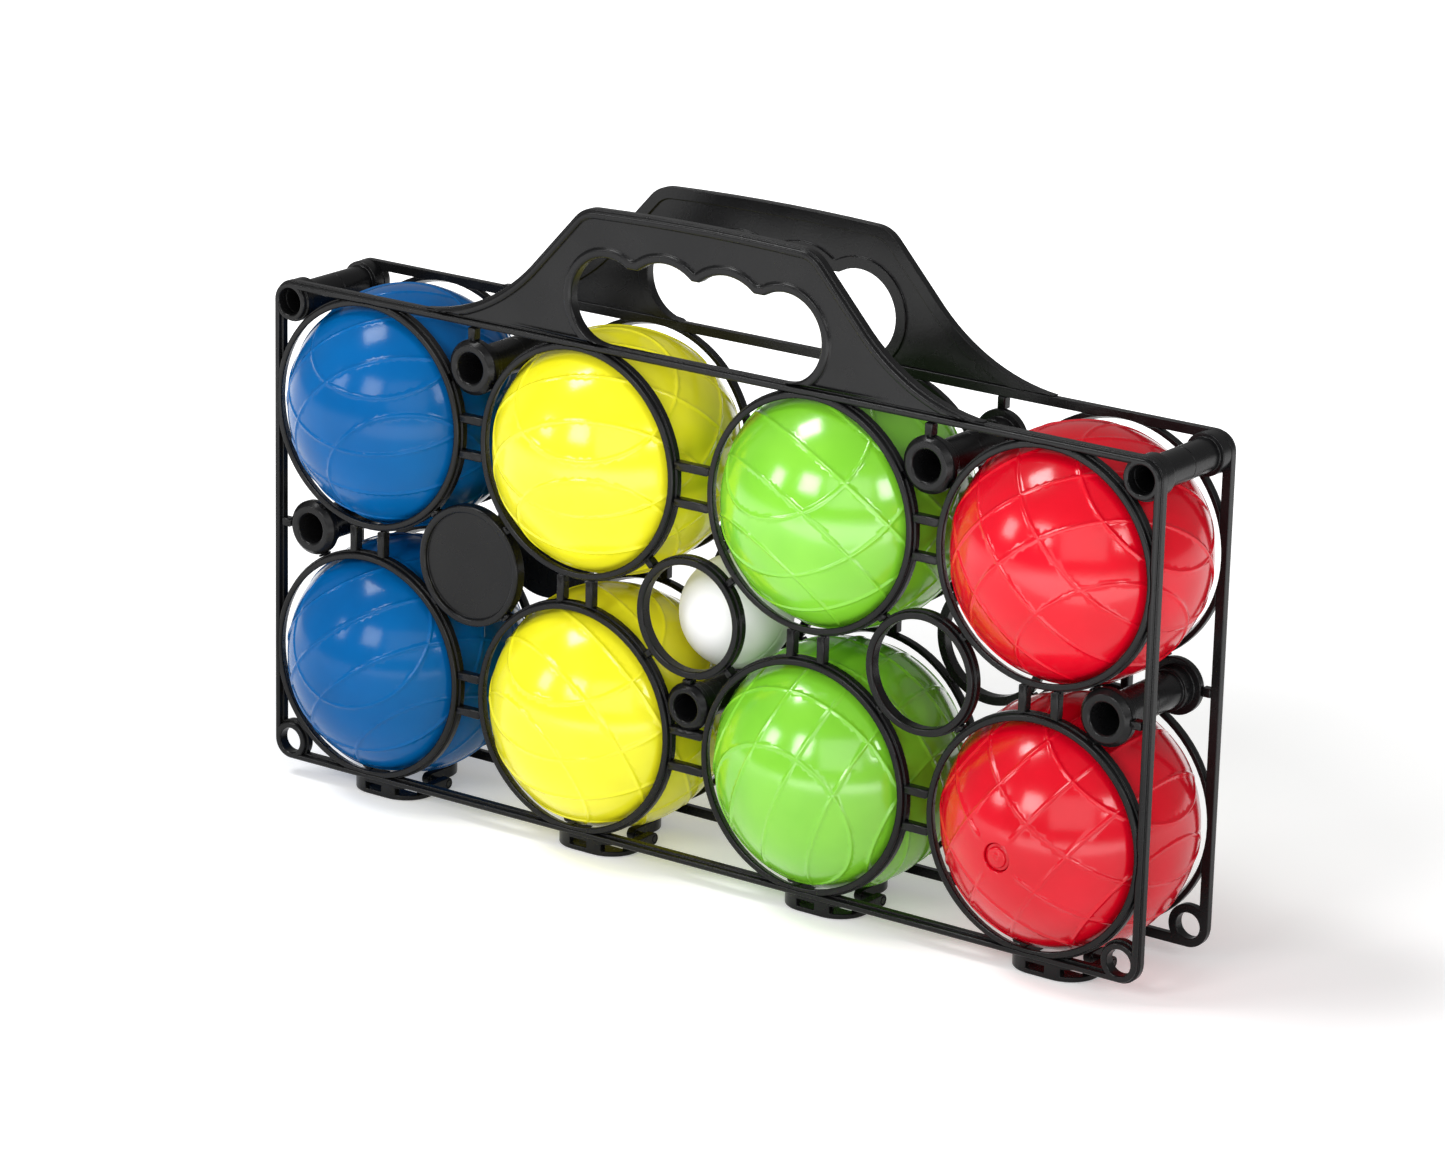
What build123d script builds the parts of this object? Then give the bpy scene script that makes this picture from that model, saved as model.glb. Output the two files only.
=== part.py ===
"""Lawn bowling set: eight water-filled balls and a jack in a hinged two-half carrier.

Frame: X runs along the carrier, Y from front to back, Z up, millimetres. The origin is on the
ground under the middle of the carrier, whose two grilles are mirror images about Y = 0.
"""
from math import asin, copysign, cos, degrees, hypot, radians, sin, tan
import os

from build123d import *

# ---------------------------------------------------------------- driving dimensions
ball_diameter = 72.0
ball_wall = 2.2
ball_sag = 0.6               # each ball rests on the lower edge of its seat
jack_diameter = 33.0
middle_pitch = 80.0          # between the two middle columns of balls
outer_pitch = 76.2           # between an outer column and its neighbour
row_pitch = 76.4
case_depth = 40.0            # over the two grilles
panel_depth = 3.6            # of one grille
frame_width = 302.8
frame_height = 147.4
foot_height = 4.7            # lower rail above the ground
handle_rise = 39.3           # top of the handle above the upper rail

# ---------------------------------------------------------------- grille bars and rings
rail_width = 2.8
step_depth = 1.5             # bars are a little narrower over this front layer
step_inset = 0.55
ring_outer_radius = 34.8
ring_front_radius = 32.2
ring_back_radius = 33.4
small_ring_outer_radius = 18.0
small_ring_inner_radius = 15.4
disc_recess = 1.2
disc_rim_width = 2.2
edge_break = 0.4             # chamfer of exposed front edges
strut_width = 2.6
strut_recess = 0.5
boss_strut_width = 2.3       # from tubes and small rings to the ball rings
boss_strut_reach = 56.0      # longest distance bridged between their centres
tube_strut_width = 2.6       # from tubes to the frame or the middle ring
rail_overlap = 1.0           # of those bars into the frame
ladder_half_height = 5.3     # pairs of bars between side by side rings
lower_ladder_drop = 1.2      # of those pairs in the lower row below its ring centres
ladder_half_width = 5.1      # pairs of bars between rings one above the other
ladder_half_length = 10.0    # before the rings cut them to length

# ---------------------------------------------------------------- corner eyes and spacer tubes
eye_radius = 6.2
eye_hole_radius = 3.75
flange_radius = 8.2
lower_flange_radius = 7.05
flange_chamfer = 1.5
mouth_chamfer = 0.5          # of the bore in a flange
collar_radius = 6.1
collar_length = 4.0
tube_radius = 5.2
corner_tube_radius = 4.8
upper_tube_rise = 59.0       # from the middle of the grille
lower_tube_drop = 26.3
side_tube_x = 137.3
bore_radius = 4.5            # at the mouth of a tube
narrow_bore_radius = 4.0     # of the corner tubes and the lower one
bore_floor = 2.0             # wall left at the end of a blind bore
bore_draft = 0.7             # a bore is this much tighter at its floor
spigot_radius = 2.9
spigot_length = 6.0
spigot_chamfer = 0.6
socket_radius = 3.4
socket_depth = 7.2

# ---------------------------------------------------------------- handle
rim_width = 3.4
web_thickness = 1.8
web_back_recess = 0.8
handle_slope = 49.0          # degrees, of the straight shoulders
handle_half_top = 39.2       # to the unrounded upper corners
handle_crown = 1.0           # the top edge bulges this much over its length
handle_corner_radius = 10.0
shoulder_radius = 60.0       # concave sweep down to the upper rail
handle_foot_width = 190.0    # the sweeps end here
grip_end_radius = 12.6
grip_half_length = 30.0      # to the centres of the round ends
finger_radius = 14.3         # middle finger scallops
finger_half_pitch = 10.5
finger_drop = 0.3            # their centres lie a little lower than those of the round ends
cusp_drop = 2.0              # the top between the scallops is at least this much lower
cusp_radius = 1.0

# ---------------------------------------------------------------- feet and hinge
hinge_axis_height = 1.8      # also the radius of the arms' round ends
hinge_pin_radius = 1.1
hinge_eye_bore = 1.18
foot_half_width = 12.8       # over the two arms of a loop
foot_offset = 3.2            # of a loop from its column, to the right as seen from its own side
foot_front = 18.0            # front wall, from the middle plane
foot_arm_thickness = 2.6
foot_wall_thickness = 2.2
foot_corner_radius = 9.0
arm_low_reach = 11.0         # nearer to the hinge the arms are lowered to clear the balls
foot_window = (6.0, 2.0)
foot_window_pitch = 10.9
foot_window_height = 2.5
foot_window_offset = 7.05    # of a pair from its column
foot_window_depth = 6.5      # far enough to open the rounded corner too
sole_thickness = 0.8         # of the plate that closes a loop below
sole_reach = 10.0            # its rear edge, from the middle plane

# ---------------------------------------------------------------- filler plugs
plug_radius = 4.0
plug_clearance = 0.05
plug_length = 4.2
plug_groove = 0.5
water_gap = 0.1

# ---------------------------------------------------------------- derived places
half_depth = case_depth / 2
inner_face = half_depth - panel_depth
ball_radius = ball_diameter / 2
grid_height = foot_height + frame_height / 2
rail_top = grid_height + frame_height / 2
column_x = {
    "blue": -middle_pitch / 2 - outer_pitch,
    "yellow": -middle_pitch / 2,
    "green": middle_pitch / 2,
    "red": middle_pitch / 2 + outer_pitch,
}
row_z = {"top": grid_height + row_pitch / 2, "bottom": grid_height - row_pitch / 2}
ring_centres = [(x, z) for x in column_x.values() for z in row_z.values()]
gap_x = middle_pitch / 2 + outer_pitch / 2          # between an outer column and its neighbour
disc_centre = (-gap_x, grid_height)
small_ring_centres = [(0.0, grid_height), (gap_x, grid_height)]
eye_x = frame_width / 2 - eye_radius
eye_z = frame_height / 2 - eye_radius
corner_tube_centres = [(-eye_x, grid_height + eye_z), (eye_x, grid_height + eye_z)]
eyelet_centres = [(-eye_x, grid_height - eye_z), (eye_x, grid_height - eye_z)]
upper_tube_z = grid_height + upper_tube_rise
lower_tube_z = grid_height - lower_tube_drop
flanged_tube_centres = [
    (-gap_x, upper_tube_z),
    (gap_x, upper_tube_z),
    (-side_tube_x, grid_height),
    (side_tube_x, grid_height),
    (0.0, lower_tube_z),
]
jack_centre = (0.0, 4.5, grid_height - 3.4)

# Sketches on this plane use X and Z, and extrude towards the front.
front_panel_back = Plane.XZ.offset(inner_face)

os.makedirs("parts", exist_ok=True)


def keep(part, label):
    """Name a finished piece and write it to its own file."""
    part.label = label
    export_step(part, f"parts/{label}.step")


def keep_pair(part, label):
    """Write the front grille's piece, and its mirror image for the rear grille."""
    rear = mirror(part, about=Plane.XZ)
    keep(part, f"front_{label}")
    keep(rear, f"rear_{label}")


def frame_outline(inset):
    """Rounded frame with four corner eyes, its bars narrower by the inset on both sides."""
    width = rail_width - inset
    with BuildSketch() as outline:
        with Locations((0, grid_height)):
            RectangleRounded(frame_width - 2 * inset, frame_height - 2 * inset, eye_radius - inset)
            RectangleRounded(
                frame_width - 2 * width, frame_height - 2 * width, eye_radius - width, mode=Mode.SUBTRACT
            )
        with Locations(*corner_tube_centres, *eyelet_centres):
            Circle(eye_radius - inset)
        with Locations(*corner_tube_centres):
            Circle(narrow_bore_radius, mode=Mode.SUBTRACT)
        with Locations(*eyelet_centres):
            Circle(eye_hole_radius, mode=Mode.SUBTRACT)
        with Locations(*ring_centres):
            Circle(ring_back_radius, mode=Mode.SUBTRACT)
    return outline.sketch_local


def bar_between(start, end, width):
    """A straight bar, drawn in the open sketch, between two points."""
    length = hypot(end[0] - start[0], end[1] - start[1])
    angle = degrees(asin((end[1] - start[1]) / length))
    if end[0] < start[0]:
        angle = 180 - angle
    with Locations(Location(((start[0] + end[0]) / 2, (start[1] + end[1]) / 2), angle)):
        Rectangle(length, width)


def flange_at(centre):
    """Flange radius of the tube there; the corner tubes have none."""
    if centre in corner_tube_centres:
        return 0.0
    return lower_flange_radius if centre[1] == lower_tube_z else flange_radius


def nearby(centre, others, reach):
    """Those of the other centres that lie within reach."""
    return [o for o in others if hypot(o[0] - centre[0], o[1] - centre[1]) < reach]


# ---------------------------------------------------------------- frame of each grille
with BuildPart() as frame:
    with BuildSketch(front_panel_back):
        add(frame_outline(0))
    extrude(amount=panel_depth - step_depth)
    with BuildSketch(front_panel_back):
        add(frame_outline(step_inset))
    extrude(amount=panel_depth)
keep_pair(frame.part, "frame")

# ---------------------------------------------------------------- eight ball rings
with BuildPart() as ball_rings:
    for centre_x, centre_z in ring_centres:
        with BuildSketch(Plane.XY.move(Location((centre_x, 0, centre_z)))):
            with BuildLine():
                Polyline(
                    (ring_back_radius, -inner_face),
                    (ring_outer_radius, -inner_face),
                    (ring_outer_radius, -half_depth + step_depth),
                    (ring_outer_radius - step_inset, -half_depth + step_depth),
                    (ring_outer_radius - step_inset, -half_depth + edge_break),
                    (ring_outer_radius - step_inset - edge_break, -half_depth),
                    (ring_front_radius + edge_break, -half_depth),
                    (ring_front_radius, -half_depth + edge_break),
                    close=True,
                )
            make_face()
        revolve(axis=Axis((centre_x, 0, centre_z), (0, 1, 0)))
    add(frame.part, mode=Mode.SUBTRACT)
keep_pair(ball_rings.part, "ball_rings")

# ---------------------------------------------------------------- open small rings
with BuildPart() as small_rings:
    for centre_x, centre_z in small_ring_centres:
        with BuildSketch(Plane.XY.move(Location((centre_x, 0, centre_z)))):
            with BuildLine():
                Polyline(
                    (small_ring_inner_radius, -inner_face),
                    (small_ring_outer_radius, -inner_face),
                    (small_ring_outer_radius, -half_depth + step_depth),
                    (small_ring_outer_radius - step_inset, -half_depth + step_depth),
                    (small_ring_outer_radius - step_inset, -half_depth),
                    (small_ring_inner_radius + edge_break, -half_depth),
                    (small_ring_inner_radius, -half_depth + edge_break),
                    close=True,
                )
            make_face()
        revolve(axis=Axis((centre_x, 0, centre_z), (0, 1, 0)))
keep_pair(small_rings.part, "small_rings")

# ---------------------------------------------------------------- closed disc with a raised rim
with BuildPart() as blank_disc:
    with BuildSketch(front_panel_back):
        with Locations(disc_centre):
            Circle(small_ring_outer_radius)
    extrude(amount=panel_depth)
    with BuildSketch(Plane.XZ.offset(half_depth - disc_recess)):
        with Locations(disc_centre):
            Circle(small_ring_outer_radius - disc_rim_width)
    extrude(amount=disc_recess, mode=Mode.SUBTRACT)
    chamfer(blank_disc.edges().group_by(Axis.Y)[0], edge_break)
keep_pair(blank_disc.part, "blank_disc")

# ---------------------------------------------------------------- bars that join the rings
joined_bosses = [disc_centre, *small_ring_centres, *flanged_tube_centres]
with BuildPart() as struts:
    with BuildSketch(front_panel_back):
        for middle in (row_z["top"], row_z["bottom"] - lower_ladder_drop):
            for gap in (-gap_x, 0.0, gap_x):
                for side in (-ladder_half_height, ladder_half_height):
                    left_end = (gap - ladder_half_length, middle + side)
                    right_end = (gap + ladder_half_length, middle + side)
                    bar_between(left_end, right_end, strut_width)
        for column in column_x.values():
            for side in (-ladder_half_width, ladder_half_width):
                lower_end = (column + side, grid_height - ladder_half_length)
                upper_end = (column + side, grid_height + ladder_half_length)
                bar_between(lower_end, upper_end, strut_width)
        for boss in joined_bosses:
            for ring in nearby(boss, ring_centres, boss_strut_reach):
                bar_between(boss, ring, boss_strut_width)
        for tube_x, tube_z in flanged_tube_centres:
            if tube_z == upper_tube_z:
                joined_point = (tube_x, rail_top - rail_overlap)
            elif tube_z == lower_tube_z:
                joined_point = (tube_x, grid_height)
            else:
                joined_point = (copysign(frame_width / 2 - rail_overlap, tube_x), tube_z)
            bar_between((tube_x, tube_z), joined_point, tube_strut_width)
        with Locations(*ring_centres):
            Circle(ring_outer_radius, mode=Mode.SUBTRACT)
        with Locations(disc_centre, *small_ring_centres):
            Circle(small_ring_outer_radius, mode=Mode.SUBTRACT)
        for centre in flanged_tube_centres:
            with Locations(centre):
                Circle(flange_at(centre), mode=Mode.SUBTRACT)
        with Locations((0, grid_height)):
            Rectangle(frame_width - 2 * rail_width, frame_height - 2 * rail_width, mode=Mode.INTERSECT)
    extrude(amount=panel_depth - strut_recess)
keep_pair(struts.part, "struts")


# ---------------------------------------------------------------- handle
def handle_outline():
    """Outer shape of the handle, run well below the rail so that its lower edge can be cut off."""
    top = rail_top + handle_rise
    skirt_z = rail_top - handle_rise / 2
    slope = radians(handle_slope)
    foot_x = handle_half_top + handle_rise / tan(slope)      # where the slope would meet the rail
    tangent = shoulder_radius * tan(slope / 2)
    arc_start = (foot_x + tangent, rail_top)
    arc_end = (foot_x - tangent * cos(slope), rail_top + tangent * sin(slope))
    arc_middle = (
        arc_start[0] - shoulder_radius * sin(slope / 2),
        rail_top + shoulder_radius * (1 - cos(slope / 2)),
    )
    corner = (handle_half_top, top - handle_crown)
    with BuildSketch() as outline:
        with BuildLine():
            Line((arc_start[0], skirt_z), arc_start)
            ThreePointArc(arc_start, arc_middle, arc_end)
            Line(arc_end, corner)
            ThreePointArc(corner, (0, top), (-corner[0], corner[1]))
            Line((-corner[0], corner[1]), (-arc_end[0], arc_end[1]))
            ThreePointArc(
                (-arc_end[0], arc_end[1]), (-arc_middle[0], arc_middle[1]), (-arc_start[0], rail_top)
            )
            Line((-arc_start[0], rail_top), (-arc_start[0], skirt_z))
            Line((-arc_start[0], skirt_z), (arc_start[0], skirt_z))
        make_face()
        upper_corners = outline.vertices().group_by(Axis.Y)[-1]
        fillet(upper_corners, handle_corner_radius)
    return outline.sketch_local


def above_rail():
    """Keep only what lies above the top of the frame, in the open sketch."""
    with Locations((0, rail_top + handle_rise)):
        Rectangle(handle_foot_width, 2 * handle_rise, mode=Mode.INTERSECT)


def grip_opening(grow):
    """Finger opening: round ends, four scallops along the top, straight along the rail."""
    centre_z = rail_top + grip_end_radius
    finger_z = centre_z - finger_drop
    finger_reach = finger_half_pitch + finger_radius
    with BuildSketch() as opening:
        with Locations((0, centre_z - cusp_drop / 2)):
            Rectangle(2 * grip_half_length, 2 * grip_end_radius - cusp_drop + 2 * grow)
        with Locations((-grip_half_length, centre_z), (grip_half_length, centre_z)):
            Circle(grip_end_radius + grow)
        with Locations((-finger_half_pitch, finger_z), (finger_half_pitch, finger_z)):
            Circle(finger_radius + grow)
        above_rail()
        if grow == 0:
            cusps = opening.vertices().filter_by_position(Axis.Y, centre_z, rail_top + handle_rise)
            fillet(cusps.filter_by_position(Axis.X, -finger_reach, finger_reach), cusp_radius)
    return opening.sketch_local


outer_shape = handle_outline()
with BuildSketch() as pocket:
    add(outer_shape)
    offset(amount=-rim_width)
with BuildSketch() as bead_step:
    add(outer_shape)
    offset(amount=-step_inset)
with BuildSketch() as wide_pocket:
    add(outer_shape)
    offset(amount=-rim_width + step_inset)

with BuildPart() as handle:
    with BuildSketch(front_panel_back.offset(web_back_recess)):
        add(outer_shape)
        add(grip_opening(0), mode=Mode.SUBTRACT)
        above_rail()
    extrude(amount=web_thickness)
    with BuildSketch(front_panel_back):
        add(outer_shape)
        add(pocket.sketch_local, mode=Mode.SUBTRACT)
        add(grip_opening(rim_width))
        add(grip_opening(0), mode=Mode.SUBTRACT)
        above_rail()
    extrude(amount=panel_depth - step_depth)
    with BuildSketch(front_panel_back):
        add(bead_step.sketch_local)
        add(wide_pocket.sketch_local, mode=Mode.SUBTRACT)
        add(grip_opening(rim_width - step_inset))
        add(grip_opening(0), mode=Mode.SUBTRACT)
        above_rail()
    extrude(amount=panel_depth)
keep_pair(handle.part, "handle")


# ---------------------------------------------------------------- spacer tubes
def tube_profile(flange, plug_in):
    """Half section of one half tube, radius along x and front to back along y."""
    radius = tube_radius if flange else corner_tube_radius
    bore = bore_radius if flange == flange_radius else narrow_bore_radius
    if flange:
        points = [
            (bore, -half_depth + mouth_chamfer),
            (bore + mouth_chamfer, -half_depth),
            (flange - flange_chamfer, -half_depth),
            (flange, -half_depth + flange_chamfer),
            (flange, -inner_face),
        ]
    else:
        points = [(bore, -inner_face)]
    points += [
        (collar_radius, -inner_face),
        (collar_radius, -inner_face + collar_length),
        (radius, -inner_face + collar_length),
        (radius, 0),
    ]
    if plug_in:
        points += [
            (spigot_radius, 0),
            (spigot_radius, spigot_length - spigot_chamfer),
            (spigot_radius - spigot_chamfer, spigot_length),
            (0, spigot_length),
            (0, -bore_floor),
            (bore - bore_draft, -bore_floor),
        ]
    else:
        points += [
            (socket_radius, 0),
            (socket_radius, -socket_depth),
            (0, -socket_depth),
            (0, -socket_depth - bore_floor),
            (bore - bore_draft, -socket_depth - bore_floor),
        ]
    return points


def half_tubes(plug_in):
    """Seven half tubes of the front grille, ending in spigots or in sockets."""
    with BuildPart() as tubes:
        for centre_x, centre_z in [*flanged_tube_centres, *corner_tube_centres]:
            with BuildSketch(Plane.XY.move(Location((centre_x, 0, centre_z)))):
                with BuildLine():
                    Polyline(*tube_profile(flange_at((centre_x, centre_z)), plug_in), close=True)
                make_face()
            revolve(axis=Axis((centre_x, 0, centre_z), (0, 1, 0)))
        with BuildSketch(front_panel_back):
            with Locations(*ring_centres):
                Circle(ring_outer_radius)
            with Locations(*small_ring_centres):
                Circle(small_ring_outer_radius)
        extrude(amount=panel_depth, mode=Mode.SUBTRACT)
    return tubes.part


keep(half_tubes(True), "front_spigot_tubes")
keep(mirror(half_tubes(False), about=Plane.XZ), "rear_socket_tubes")

# ---------------------------------------------------------------- feet
def both_arms(height):
    """Middle of each arm's end on the hinge axis, for the front loops."""
    arm_middle = foot_half_width - foot_arm_thickness / 2
    return [
        (x + foot_offset + side * arm_middle, 0, height) for x in column_x.values() for side in (-1, 1)
    ]


def foot_loops():
    """Four low feet under the front grille, with two windows each and arms that reach the hinge."""
    with BuildSketch() as plan:
        with Locations((0, -foot_front / 2)):
            Rectangle(2 * foot_half_width, foot_front)
        fillet(plan.vertices().group_by(Axis.Y)[0], foot_corner_radius)
        with BuildSketch(mode=Mode.SUBTRACT) as inside:
            with Locations((0, foot_wall_thickness)):
                Rectangle(2 * (foot_half_width - foot_arm_thickness), 2 * foot_front)
            fillet(inside.vertices().group_by(Axis.Y)[0], foot_corner_radius - foot_wall_thickness)
    with BuildSketch() as sole:
        with Locations((0, -foot_front / 2)):
            Rectangle(2 * foot_half_width, foot_front)
        fillet(sole.vertices().group_by(Axis.Y)[0], foot_corner_radius)
        Rectangle(2 * foot_half_width, 2 * sole_reach, mode=Mode.SUBTRACT)
    foot_places = [(x + foot_offset, 0) for x in column_x.values()]
    window_places = [
        (x + foot_window_offset + side * foot_window_pitch / 2, foot_window_height)
        for x in column_x.values()
        for side in (-1, 1)
    ]
    arm_height = 2 * hinge_axis_height
    with BuildPart() as loops:
        with BuildSketch():
            with Locations(*foot_places):
                add(plan.sketch_local)
        extrude(amount=foot_height)
        with Locations((0, 0, foot_height)):
            Box(frame_width, 2 * arm_low_reach, 2 * (foot_height - arm_height), mode=Mode.SUBTRACT)
        with Locations(*both_arms(hinge_axis_height)):
            Cylinder(hinge_axis_height, foot_arm_thickness, rotation=(0, 90, 0))
        with BuildSketch():
            with Locations(*foot_places):
                add(sole.sketch_local)
        extrude(amount=sole_thickness)
        with BuildSketch(Plane.XZ.offset(foot_front)):
            with Locations(*window_places):
                Rectangle(*foot_window)
        extrude(amount=-foot_window_depth, mode=Mode.SUBTRACT)
    return loops.part


with BuildPart() as front_feet:
    add(foot_loops())
    with Locations(*both_arms(hinge_axis_height)):
        Cylinder(hinge_eye_bore, 2 * foot_arm_thickness, rotation=(0, 90, 0), mode=Mode.SUBTRACT)
keep(front_feet.part, "front_feet")

# The rear loops are the front ones turned half round, so they stand aside of them and carry the
# pins, each from a rear arm to the outer end of the next front arm's eye.
pin_starts = (foot_half_width, foot_arm_thickness - foot_half_width)
pin_middles = [(x + start, 0, hinge_axis_height) for x in column_x.values() for start in pin_starts]
with BuildPart() as rear_feet:
    add(foot_loops().rotate(Axis.Z, 180))
    with Locations(*pin_middles):
        Cylinder(hinge_pin_radius, 2 * foot_offset, rotation=(0, 90, 0))
keep(rear_feet.part, "rear_feet")

# ---------------------------------------------------------------- water-filled balls
# Compass heading (0 = front, 90 = right) and height angle of each ball's filler plug.
plug_directions = {
    "blue_top": (303, -10),
    "blue_bottom": (294, -31),
    "yellow_top": (290, -3),
    "yellow_bottom": (252, 14),
    "green_top": (248, 11),
    "green_bottom": (230, -60),
    "red_top": (156, -22),
    "red_bottom": (358, -2),
}
inner_radius = ball_radius - ball_wall

for colour, ball_x in column_x.items():
    for row, centre_z in row_z.items():
        ball_centre = Vector(ball_x, 0, centre_z - ball_sag)
        heading, height_angle = (radians(angle) for angle in plug_directions[f"{colour}_{row}"])
        plug_axis = Vector(
            sin(heading) * cos(height_angle), -cos(heading) * cos(height_angle), sin(height_angle)
        )
        plug_plane = Plane(origin=ball_centre + plug_axis * (ball_radius - plug_length), z_dir=plug_axis)

        with BuildPart() as shell:
            with Locations(ball_centre):
                Sphere(ball_radius)
                Sphere(inner_radius, mode=Mode.SUBTRACT)
            with BuildSketch(plug_plane):
                Circle(plug_radius)
            extrude(amount=2 * plug_length, mode=Mode.SUBTRACT)
        keep(shell.part, f"{colour}_{row}_ball_shell")

        with BuildPart() as plug:
            with BuildSketch(plug_plane):
                Circle(plug_radius - plug_clearance)
            extrude(amount=2 * plug_length)
            with Locations(ball_centre):
                Sphere(ball_radius - plug_groove, mode=Mode.INTERSECT)
        keep(plug.part, f"{colour}_{row}_filler_plug")

        with BuildPart() as water:
            with Locations(ball_centre):
                Sphere(inner_radius - water_gap)
            with BuildSketch(plug_plane.offset(-water_gap)):
                Circle(plug_radius + water_gap)
            extrude(amount=2 * plug_length, mode=Mode.SUBTRACT)
        keep(water.part, f"{colour}_{row}_water_fill")

# ---------------------------------------------------------------- jack
with BuildPart() as jack:
    with Locations(jack_centre):
        Sphere(jack_diameter / 2)
keep(jack.part, "jack")
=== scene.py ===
"""Looks of the lawn bowling set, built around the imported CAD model. Metres, +Z up."""

from math import acos, cos, pi, radians, sin

import bmesh
import bpy
from mathutils import Matrix, Vector


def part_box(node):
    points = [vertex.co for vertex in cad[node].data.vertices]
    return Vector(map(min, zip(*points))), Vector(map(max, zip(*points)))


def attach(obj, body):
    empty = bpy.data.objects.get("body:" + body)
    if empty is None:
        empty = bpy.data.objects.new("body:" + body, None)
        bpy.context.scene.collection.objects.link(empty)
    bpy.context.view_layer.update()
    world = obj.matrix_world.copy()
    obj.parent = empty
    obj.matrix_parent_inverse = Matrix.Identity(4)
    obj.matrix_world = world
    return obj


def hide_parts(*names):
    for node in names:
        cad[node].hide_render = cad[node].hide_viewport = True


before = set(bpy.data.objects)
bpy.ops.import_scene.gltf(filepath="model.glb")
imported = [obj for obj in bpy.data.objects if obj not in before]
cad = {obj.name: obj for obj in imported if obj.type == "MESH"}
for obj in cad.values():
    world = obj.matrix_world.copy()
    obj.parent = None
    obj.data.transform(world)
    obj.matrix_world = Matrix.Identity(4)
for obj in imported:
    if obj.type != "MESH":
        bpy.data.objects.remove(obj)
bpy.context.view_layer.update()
MM = 0.001

COLOURS = ("blue", "yellow", "green", "red")
ROWS = ("top", "bottom")


def link(thing):
    """Put an object in the scene."""
    bpy.context.scene.collection.objects.link(thing)
    return thing


# ---------------------------------------------------------------- camera
CAMERA_PLACE = (0.8274, -1.1690, 0.5260)
CAMERA_HEADING = 35.36       # degrees, as are the next two
CAMERA_HEIGHT = 17.09
CAMERA_ROLL = 1.37
SENSOR_WIDTH = 36.0          # mm
LENS = 132.08                # mm


def direction(heading, height):
    """Unit vector: heading 0 is towards the front, 90 to the right; height above the horizon."""
    h, e = radians(heading), radians(height)
    return Vector((sin(h) * cos(e), -cos(h) * cos(e), sin(e)))


def look_matrix(forward, roll):
    """Camera axes for a view direction, rolled about it."""
    right = forward.cross(Vector((0, 0, 1))).normalized()
    up = right.cross(forward)
    turn = radians(roll)
    rolled_right = right * cos(turn) + up * sin(turn)
    rolled_up = up * cos(turn) - right * sin(turn)
    return Matrix((rolled_right, rolled_up, -forward)).transposed().to_4x4()


camera = link(bpy.data.objects.new("camera", bpy.data.cameras.new("camera")))
camera.data.sensor_width = SENSOR_WIDTH
camera.data.lens = LENS
camera.data.clip_start = 0.05
camera.data.clip_end = 50.0
camera_axes = look_matrix(-direction(CAMERA_HEADING, CAMERA_HEIGHT), CAMERA_ROLL)
camera.matrix_world = Matrix.Translation(CAMERA_PLACE) @ camera_axes
bpy.context.scene.camera = camera
bpy.context.scene.view_settings.view_transform = "Standard"


# ---------------------------------------------------------------- light
LIGHT_TARGET = Vector((0, 0, 0.08))
SOFTBOXES = (                # name, heading, height, distance, width, tall, power
    ("front_softbox", -4, 27, 2.0, 0.60, 0.55, 13),
    ("room_softbox", 35, 24, 2.4, 1.70, 1.20, 13),
    ("left_softbox", -39, 22, 2.2, 0.45, 0.50, 8),
    ("right_softbox", 70, 25, 2.2, 0.45, 0.60, 10),
    ("top_softbox", -59, 62, 2.0, 0.55, 0.55, 17),
)
SHEET_HEADING = 35
SHEET_LIFT = 0.001
WORLD_STRENGTH = 0.30


def area_light(name, heading, height, distance, width, tall, power):
    """A softbox that faces the middle of the object."""
    data = bpy.data.lights.new(name, "AREA")
    data.shape = "RECTANGLE"
    data.size = width
    data.size_y = tall
    data.energy = power
    light = link(bpy.data.objects.new(name, data))
    away = direction(heading, height)
    light.location = LIGHT_TARGET + away * distance
    light.rotation_euler = away.to_track_quat("Z", "Y").to_euler()
    return light


for softbox in SOFTBOXES:
    area_light(*softbox)

# A bright sheet that lies on the floor in front, for the lower halves of the balls to mirror.
sheet = area_light("floor_sheet", SHEET_HEADING, 0, 0.75, 1.30, 0.90, 9)
sheet.location.z = SHEET_LIFT
sheet.rotation_euler = (pi, 0, radians(SHEET_HEADING))

world = bpy.data.worlds.new("studio")
bpy.context.scene.world = world
world.use_nodes = True
background = world.node_tree.nodes["Background"]
background.inputs["Color"].default_value = (1, 1, 1, 1)
background.inputs["Strength"].default_value = WORLD_STRENGTH


# ---------------------------------------------------------------- materials
DRIFT_SCALE = 45             # noise scale of the colour drift
GLOSS_SCALE = 120            # noise scale of the uneven gloss
GRAIN_HEIGHT = 0.0002
GLOW_DEPTH = 0.006


def new_material(name):
    """A node material, its nodes and its links."""
    material = bpy.data.materials.new(name)
    material.use_nodes = True
    return material, material.node_tree.nodes, material.node_tree.links


def noise(nodes, links, scale, detail=3.0):
    """Noise over the object's own coordinates."""
    where = nodes.new("ShaderNodeTexCoord")
    texture = nodes.new("ShaderNodeTexNoise")
    texture.inputs["Scale"].default_value = scale
    texture.inputs["Detail"].default_value = detail
    links.new(where.outputs["Object"], texture.inputs["Vector"])
    return texture.outputs["Fac"]


def ramp(nodes, links, source, low, high, start=0.35, stop=0.65):
    """Turn a factor into a colour between two colours."""
    mix = nodes.new("ShaderNodeValToRGB")
    mix.color_ramp.elements[0].position = start
    mix.color_ramp.elements[1].position = stop
    mix.color_ramp.elements[0].color = (*low, 1)
    mix.color_ramp.elements[1].color = (*high, 1)
    links.new(source, mix.inputs["Fac"])
    return mix.outputs["Color"]


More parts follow.
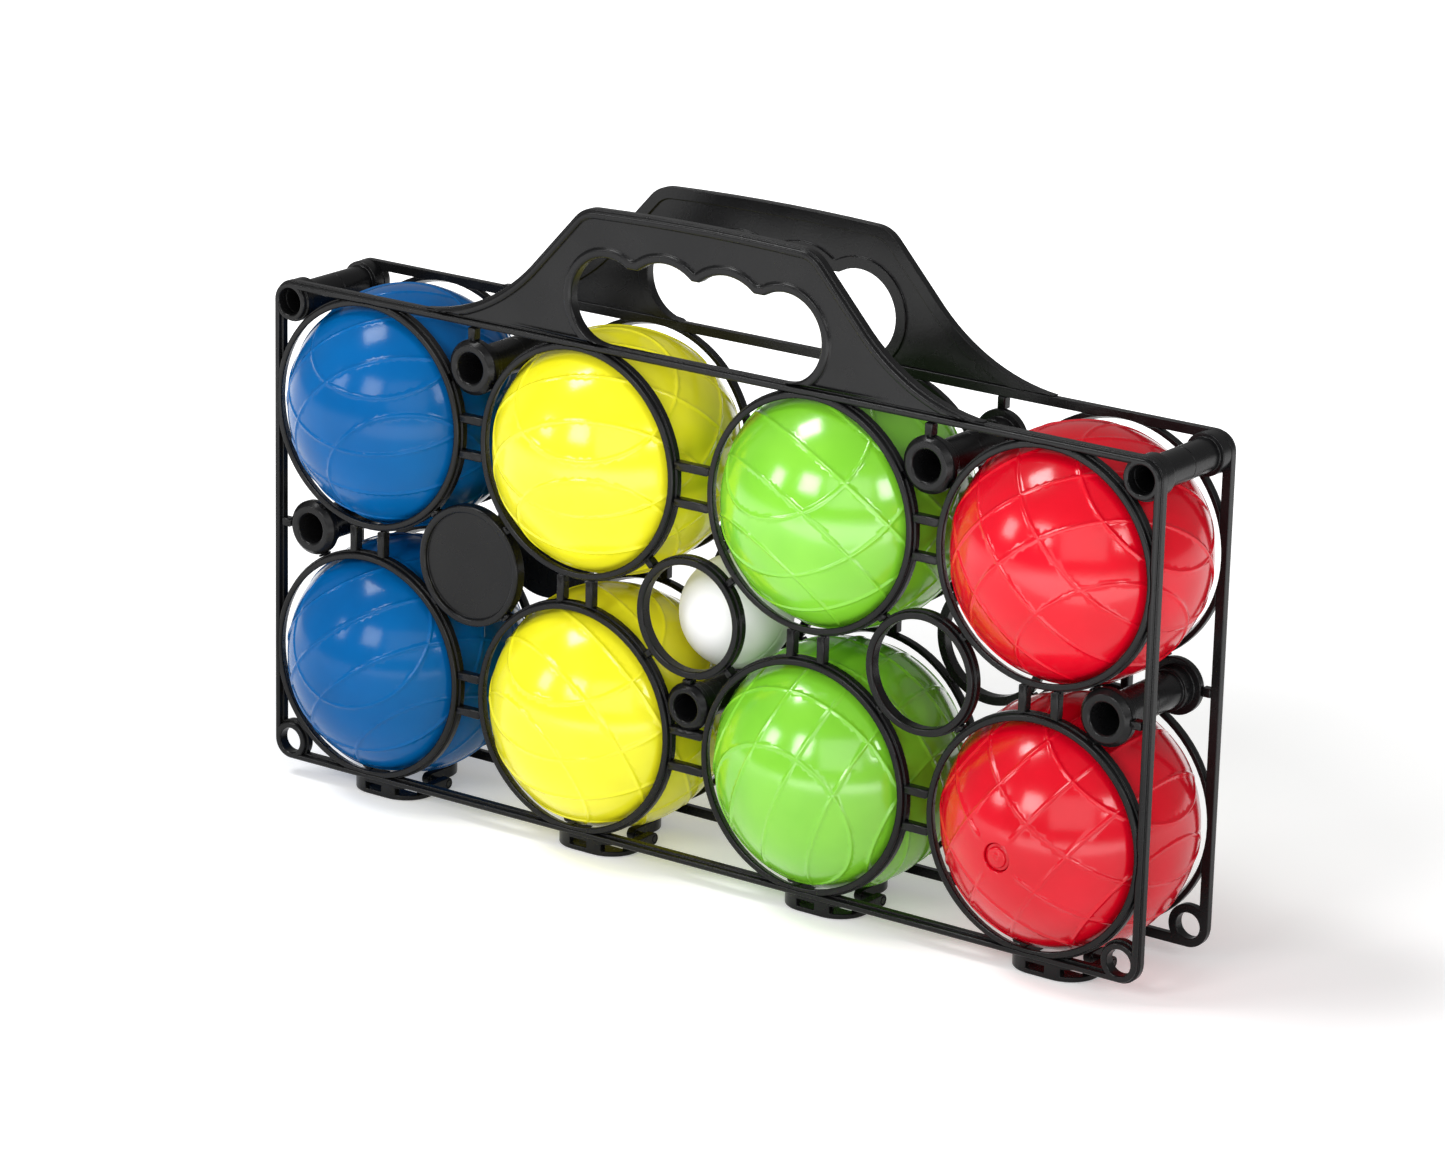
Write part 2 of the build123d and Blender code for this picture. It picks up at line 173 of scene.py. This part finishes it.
def spread(nodes, links, source, low, high, start=0.0, stop=1.0):
    """Turn a number between start and stop into one between low and high."""
    mapped = nodes.new("ShaderNodeMapRange")
    mapped.inputs["From Min"].default_value = start
    mapped.inputs["From Max"].default_value = stop
    mapped.inputs["To Min"].default_value = low
    mapped.inputs["To Max"].default_value = high
    links.new(source, mapped.inputs["Value"])
    return mapped.outputs["Result"]


def moulded_plastic(name, colours, roughness, grain, bump, specular=0.5, glow=0.0):
    """Moulded plastic: faint colour drift, uneven gloss and a fine surface grain."""
    material, nodes, links = new_material(name)
    shader = nodes["Principled BSDF"]
    base = ramp(nodes, links, noise(nodes, links, DRIFT_SCALE), *colours)
    links.new(base, shader.inputs["Base Color"])
    rough = spread(nodes, links, noise(nodes, links, GLOSS_SCALE, 4), *roughness)
    links.new(rough, shader.inputs["Roughness"])
    shader.inputs["Specular IOR Level"].default_value = specular
    if glow:
        shader.inputs["Subsurface Weight"].default_value = glow
        shader.inputs["Subsurface Radius"].default_value = (GLOW_DEPTH,) * 3
        shader.inputs["Subsurface Scale"].default_value = 1.0
    relief = nodes.new("ShaderNodeBump")
    relief.inputs["Strength"].default_value = bump
    relief.inputs["Distance"].default_value = GRAIN_HEIGHT
    links.new(noise(nodes, links, grain, 2), relief.inputs["Height"])
    links.new(relief.outputs["Normal"], shader.inputs["Normal"])
    return material


BLACK_SHADES = ((0.0035, 0.0035, 0.0038), (0.006, 0.006, 0.0063))
WHITE_SHADES = ((0.80, 0.80, 0.80), (0.86, 0.86, 0.855))
WATER_SHADES = ((0.55, 0.64, 0.70), (0.62, 0.70, 0.75))
BALL_SHADES = {
    "blue": ((0.001, 0.078, 0.25), (0.001, 0.092, 0.29)),
    "yellow": ((0.73, 0.68, 0.012), (0.79, 0.74, 0.020)),
    "green": ((0.155, 0.46, 0.020), (0.185, 0.51, 0.028)),
    "red": ((0.48, 0.001, 0.009), (0.55, 0.002, 0.013)),
}
BALL_GLOSS = {"blue": 0.14, "yellow": 0.45, "green": 0.75, "red": 0.38}
BLACK = moulded_plastic("black_plastic", BLACK_SHADES, (0.22, 0.32), 1600, 0.15, specular=0.20)
WHITE = moulded_plastic("white_plastic", WHITE_SHADES, (0.35, 0.5), 900, 0.08)
WATER = moulded_plastic("water", WATER_SHADES, (0.05, 0.10), 200, 0.02)
BALL = {
    colour: moulded_plastic(
        f"{colour}_plastic", shades, (0.13, 0.19), 700, 0.03,
        specular=BALL_GLOSS[colour], glow=0.1,
    )
    for colour, shades in BALL_SHADES.items()
}


# ---------------------------------------------------------------- floor
FLOOR_HALF = 7.0
FLOOR_DROP = 0.0002          # keeps the floor just under the feet
FLOOR_SHADES = ((0.86, 0.86, 0.86), (0.88, 0.88, 0.88))
PAINTED_GLOW_REACH = (0.20, 0.60)    # the floor's painted glow rises between these distances from the middle, leaving painted shade near the object
PAINTED_FLOOR_GLOW = (0.28, 1.0)      # strength of the floor's painted glow (emission) at those distances


def make_floor():
    """A pale floor that glows as painted light: weakly near the object as painted shade around it,
    fully away from it as a white backdrop.
    """
    mesh = bpy.data.meshes.new("floor")
    corners = [(x * FLOOR_HALF, y * FLOOR_HALF, 0) for x, y in ((-1, -1), (1, -1), (1, 1), (-1, 1))]
    mesh.from_pydata(corners, [], [(0, 1, 2, 3)])
    floor = link(bpy.data.objects.new("floor", mesh))
    floor.location.z = -FLOOR_DROP
    material, nodes, links = new_material("studio_floor")
    shader = nodes["Principled BSDF"]
    shader.inputs["Roughness"].default_value = 0.6
    shader.inputs["Specular IOR Level"].default_value = 0.2
    base = ramp(nodes, links, noise(nodes, links, 3), *FLOOR_SHADES)
    links.new(base, shader.inputs["Base Color"])
    where = nodes.new("ShaderNodeTexCoord")
    length = nodes.new("ShaderNodeVectorMath")
    length.operation = "LENGTH"
    links.new(where.outputs["Object"], length.inputs[0])
    # Painted light: the floor's emission, dimmer near the object as painted shade and brighter away
    # from it.
    bright = spread(nodes, links, length.outputs["Value"], *PAINTED_FLOOR_GLOW, *PAINTED_GLOW_REACH)
    shader.inputs["Emission Color"].default_value = (1, 1, 1, 1)
    links.new(bright, shader.inputs["Emission Strength"])
    mesh.materials.append(material)


make_floor()


# ---------------------------------------------------------------- mesh helpers
CUT_TOLERANCE = 1e-6


def cut(bm, point, normal, **options):
    """Cut a whole mesh along the plane through a point."""
    everything = bm.verts[:] + bm.edges[:] + bm.faces[:]
    bmesh.ops.bisect_plane(
        bm, geom=everything, dist=CUT_TOLERANCE, plane_co=point, plane_no=normal, **options
    )


def finished(bm, name):
    """The mesh that a bmesh has become."""
    mesh = bpy.data.meshes.new(name)
    bm.to_mesh(mesh)
    bm.free()
    return mesh


def smooth(mesh):
    """Shade a mesh smooth."""
    mesh.polygons.foreach_set("use_smooth", [True] * len(mesh.polygons))
    mesh.update()


def middle(node):
    """The middle of a node's box."""
    low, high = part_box(node)
    return (low + high) / 2


# ---------------------------------------------------------------- balls
BALL_MARGIN = 0.05 * MM      # keeps the skins inside the CAD model's box
ball_low, ball_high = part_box("red_bottom_ball_shell")
BALL_RADIUS = (ball_high.x - ball_low.x) / 2 - BALL_MARGIN

# The rest is in ball radii, for a ball of radius 1 with its filler plug at +Z.
RIDGE_STEP = 0.38            # spacing of the ridge circles' planes
RIDGE_ANGLES = [acos(k * RIDGE_STEP) for k in (-2, -1, 0, 1, 2)]
RIDGE_HALF_WIDTH = 0.70 * MM / BALL_RADIUS
RIDGE_HEIGHT = 0.34 * MM / BALL_RADIUS
RIDGE_CUTS = (-1, -0.5, 0, 0.5, 1)     # across a ridge, in half widths
PLUG_LIP = 4.4 * MM / BALL_RADIUS
PLUG_CLEAR = (6.3 * MM / BALL_RADIUS, 8.4 * MM / BALL_RADIUS)    # the ridges fade out between
HOLE_RINGS = (               # wall of the filler hole: radius in lip radii, depth
    (0.965, 0.0022), (0.94, 0.008), (0.925, 0.02), (0.92, 0.045), (0.0, 0.045),
)
PLUG_OUTLINE = (             # from the middle of the button to its underside: radius, height
    (0, 0.9890), (0.018, 0.9890), (0.022, 0.9913), (0.030, 0.9913), (0.034, 0.9890),
    (0.068, 0.9875), (0.075, 0.9855), (0.079, 0.980), (0.081, 0.968), (0.086, 0.965),
    (0.102, 0.965), (0.108, 0.962), (0.108, 0.945), (0, 0.945),
)
PLUG_STEPS = 48
TWIST = {                    # turn of each ball's line pattern about its plug, in degrees
    "blue_top": 149, "blue_bottom": 124, "yellow_top": 140, "yellow_bottom": 150,
    "green_top": 135, "green_bottom": 139, "red_top": 131, "red_bottom": 54,
}


def ridge_height(point):
    """Height of the ridges at a point of the unit sphere."""
    best = 0.0
    for along in (point.x, point.y):
        angle = acos(max(-1.0, min(1.0, along)))
        for ridge in RIDGE_ANGLES:
            across = abs(angle - ridge) / RIDGE_HALF_WIDTH
            if across < 1:
                best = max(best, (1 - across * across) ** 1.5)
    from_plug = Vector((point.x, point.y)).length if point.z > 0 else 1.0
    low, high = PLUG_CLEAR
    fade = max(0.0, min(1.0, (from_plug - low) / (high - low)))
    return RIDGE_HEIGHT * best * fade


def unit_ball():
    """One ball with its ridges and its filler hole."""
    bm = bmesh.new()
    bmesh.ops.create_icosphere(bm, subdivisions=6, radius=1.0)
    for axis in (Vector((1, 0, 0)), Vector((0, 1, 0))):
        for ridge in RIDGE_ANGLES:
            for across in RIDGE_CUTS:
                cut(bm, axis * cos(ridge + across * RIDGE_HALF_WIDTH), axis)
    lip = Vector((0, 0, (1 - PLUG_LIP**2) ** 0.5))
    cut(bm, lip, (0, 0, 1), clear_outer=True)
    for vert in bm.verts:
        vert.co.normalize()
        vert.co *= 1 - RIDGE_HEIGHT + ridge_height(vert.co)
    for radius, depth in HOLE_RINGS:
        rim = [edge for edge in bm.edges if edge.is_boundary]
        made = bmesh.ops.extrude_edge_only(bm, edges=rim)["geom"]
        for vert in (part for part in made if isinstance(part, bmesh.types.BMVert)):
            flat = Vector((vert.co.x, vert.co.y)).normalized() * PLUG_LIP * radius
            vert.co = Vector((flat.x, flat.y, lip.z - RIDGE_HEIGHT - depth))
    bmesh.ops.remove_doubles(bm, verts=bm.verts, dist=1e-5)
    bmesh.ops.recalc_face_normals(bm, faces=bm.faces)
    return finished(bm, "unit_ball")


def plug_mesh():
    """Filler plug of a unit ball: a round button in a groove."""
    bm = bmesh.new()
    turns = [2 * pi * i / PLUG_STEPS for i in range(PLUG_STEPS)]
    rings = []
    for radius, height in PLUG_OUTLINE:
        if radius == 0:
            rings.append([bm.verts.new((0, 0, height))] * PLUG_STEPS)
        else:
            rings.append([bm.verts.new((radius * cos(t), radius * sin(t), height)) for t in turns])
    for inner, outer in zip(rings, rings[1:]):
        for i in range(PLUG_STEPS):
            after = (i + 1) % PLUG_STEPS
            corners = []
            for vert in (inner[i], outer[i], outer[after], inner[after]):
                if vert not in corners:
                    corners.append(vert)
            bm.faces.new(corners)
    bmesh.ops.recalc_face_normals(bm, faces=bm.faces)
    return finished(bm, "plug")


def place_ball(mesh, name, centre, outward, twist, material, body, slot, node):
    """A copy of a unit mesh, its +Z along outward and turned by the twist about it."""
    right = Vector((-outward.y, outward.x, 0)).normalized()
    up = outward.cross(right)
    turn = radians(twist)
    first = right * cos(turn) + up * sin(turn)
    second = outward.cross(first)
    copy = mesh.copy()
    copy.transform(Matrix((first, second, outward)).transposed().to_4x4() * BALL_RADIUS)
    copy.transform(Matrix.Translation(centre))
    smooth(copy)
    copy.materials.append(material)
    piece = link(bpy.data.objects.new(name, copy))
    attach(piece, body)
    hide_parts(node)


ball_master = unit_ball()
plug_master = plug_mesh()
for colour in COLOURS:
    for row in ROWS:
        key = f"{colour}_{row}"
        centre = middle(f"{key}_ball_shell")
        outward = (middle(f"{key}_filler_plug") - centre).normalized()
        common = (centre, outward, TWIST[key], BALL[colour], f"{key}_ball", f"{colour}_plastic")
        place_ball(ball_master, f"{key}_ball_skin", *common, f"{key}_ball_shell")
        place_ball(plug_master, f"{key}_plug_button", *common, f"{key}_filler_plug")
        water = cad[f"{key}_water_fill"]
        water.data.materials.clear()
        water.data.materials.append(WATER)


# ---------------------------------------------------------------- jack
SEAM_HALF_WIDTH = 0.012      # in jack radii
SEAM_DEPTH = 0.006
SEAM_TILT = 62               # degrees


def jack_mesh():
    """The small white target ball, of radius 1, with its moulding seam."""
    bm = bmesh.new()
    bmesh.ops.create_icosphere(bm, subdivisions=5, radius=1.0)
    for offset in (-SEAM_HALF_WIDTH, 0, SEAM_HALF_WIDTH):
        cut(bm, (0, 0, offset), (0, 0, 1))
    for vert in bm.verts:
        vert.co.normalize()
        if abs(vert.co.z) < SEAM_HALF_WIDTH / 2:
            vert.co *= 1 - SEAM_DEPTH
    return finished(bm, "jack")


jack_low, jack_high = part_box("jack")
jack_size = Matrix.Scale((jack_high.z - jack_low.z) / 2, 4)
jack_copy = jack_mesh()
jack_copy.transform(Matrix.Rotation(radians(SEAM_TILT), 4, "X") @ jack_size)
jack_copy.transform(Matrix.Translation(middle("jack")))
smooth(jack_copy)
jack_copy.materials.append(WHITE)
jack = link(bpy.data.objects.new("jack_skin", jack_copy))
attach(jack, "jack")
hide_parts("jack")


# ---------------------------------------------------------------- carrier
ROUNDING = {                 # radius in mm at a panel's outer face, and elsewhere
    "frame": (0.60, 0.22), "ball_rings": (0.25, 0.22), "small_rings": (0.30, 0.22),
    "blank_disc": (0.25, 0.22), "handle": (0.95, 0.25), "feet": (0.35, 0.30),
    "spigot_tubes": (0.30, 0.30), "socket_tubes": (0.30, 0.30), "struts": (0.50, 0.50),
}
ROUNDING_SEGMENTS = 3
STRUT_SIDE = 2.5 * MM        # a strut's long edges are longer than this, those of its ends shorter
SHARP_ANGLE = radians(35)    # an edge that turns by more is rounded
FLAT_ANGLE = radians(0.4)    # an edge that turns by less is dissolved
FACE_TOLERANCE = 0.01 * MM
WELD_DISTANCE = 2e-6
outer_face = max(abs(corner.y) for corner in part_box("front_frame"))


def rounded(node, body, at_face, elsewhere, shortest):
    """A copy of a carrier node with its sharp edges rounded, in place of the node."""
    bm = bmesh.new()
    bm.from_mesh(cad[node].data)
    bmesh.ops.transform(bm, matrix=cad[node].matrix_world, verts=bm.verts)
    bmesh.ops.remove_doubles(bm, verts=bm.verts, dist=WELD_DISTANCE)
    # Cut in two halves by material number, so that no flat face is left with a hole in it.
    cut(bm, (0, 0, 0), (1, 0, 0))
    for face in bm.faces:
        face.material_index = int(face.calc_center_median().x > 0)
    bmesh.ops.dissolve_limit(
        bm, angle_limit=FLAT_ANGLE, verts=bm.verts, edges=bm.edges, delimit={"MATERIAL"}
    )
    for face in bm.faces:
        face.material_index = 0
    weight = bm.edges.layers.float.new("bevel_weight_edge")
    for edge in bm.edges:
        sharp = len(edge.link_faces) == 2 and edge.calc_face_angle() > SHARP_ANGLE
        if sharp and edge.calc_length() > shortest:
            on_face = all(abs(vert.co.y) > outer_face - FACE_TOLERANCE for vert in edge.verts)
            edge[weight] = (at_face if on_face else elsewhere) / at_face
    mesh = finished(bm, f"{node}_rounded")
    smooth(mesh)
    piece = link(bpy.data.objects.new(f"{node}_rounded", mesh))
    bevel = piece.modifiers.new("round", "BEVEL")
    bevel.width = at_face * MM
    bevel.segments = ROUNDING_SEGMENTS
    bevel.limit_method = "WEIGHT"
    bevel.use_clamp_overlap = False
    normals = piece.modifiers.new("normals", "WEIGHTED_NORMAL")
    normals.keep_sharp = True
    evaluated = piece.evaluated_get(bpy.context.evaluated_depsgraph_get())
    made = bpy.data.meshes.new_from_object(evaluated)
    piece.modifiers.clear()
    piece.data = made
    # A wide rounding overshoots at a crowded corner, so it is held inside the node's box.
    low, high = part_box(node)
    for vert in made.vertices:
        vert.co = [min(max(value, least), most) for value, least, most in zip(vert.co, low, high)]
    made.materials.clear()
    made.materials.append(BLACK)
    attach(piece, body)
    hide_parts(node)


for node in list(cad):
    half, _, kind = node.partition("_")
    if kind in ROUNDING:
        rounded(node, f"{half}_half", *ROUNDING[kind], STRUT_SIDE if kind == "struts" else 0)
